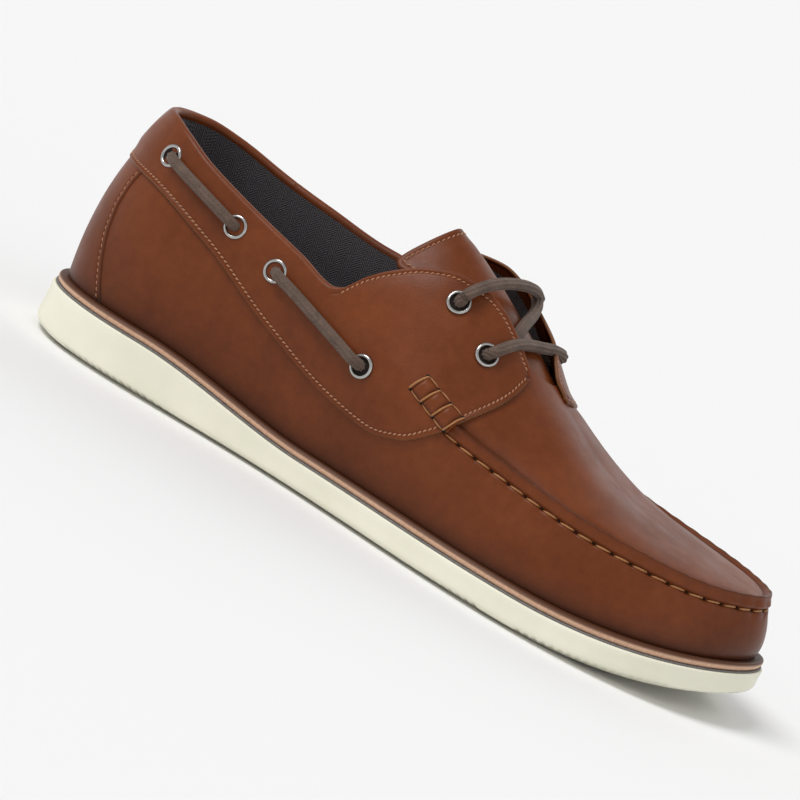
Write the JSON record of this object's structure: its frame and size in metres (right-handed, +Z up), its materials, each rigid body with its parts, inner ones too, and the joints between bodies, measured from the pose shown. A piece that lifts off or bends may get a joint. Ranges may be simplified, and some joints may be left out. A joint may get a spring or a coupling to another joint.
{
  "type": "boat shoe",
  "caption": "Right leather boat shoe with moccasin apron seam, side lacing through metal eyelets and a light siped rubber sole.",
  "frame": {"origin": "on the floor under the middle of the sole's box", "axes": "+X to the toe, +Y to the medial (inner) side, +Z up"},
  "size_m": [0.3022, 0.1056, 0.1112],
  "materials": {
    "rubber_white": "matt off-white sole rubber",
    "midsole_tan": "tan edge layer, smooth",
    "leather_brown": "smooth waxed brown leather, slightly darker at the edges",
    "lining_grey": "dark grey knitted lining",
    "lace_taupe": "ribbed round lace, taupe",
    "thread_tan": "waxed tan thread",
    "eyelet_nickel": "bright nickel"
  },
  "bodies": {
    "root": {"outsole": "rubber_white", "midsole": "midsole_tan", "insole": "lining_grey", "upper": "leather_brown", "tongue": "leather_brown", "saddle_lateral": "leather_brown", "saddle_medial": "leather_brown", "heel_counter": "leather_brown", "throat_lace": "lace_taupe", "side_lace_lateral_1": "lace_taupe", "side_lace_lateral_2": "lace_taupe", "side_lace_medial_1": "lace_taupe", "side_lace_medial_2": "lace_taupe", "eyelet_lateral_1": "eyelet_nickel", "eyelet_lateral_2": "eyelet_nickel", "eyelet_lateral_3": "eyelet_nickel", "eyelet_lateral_4": "eyelet_nickel", "eyelet_lateral_5": "eyelet_nickel", "eyelet_lateral_6": "eyelet_nickel", "eyelet_medial_1": "eyelet_nickel", "eyelet_medial_2": "eyelet_nickel", "eyelet_medial_3": "eyelet_nickel", "eyelet_medial_4": "eyelet_nickel", "eyelet_medial_5": "eyelet_nickel", "eyelet_medial_6": "eyelet_nickel"}
  },
  "joints": []
}
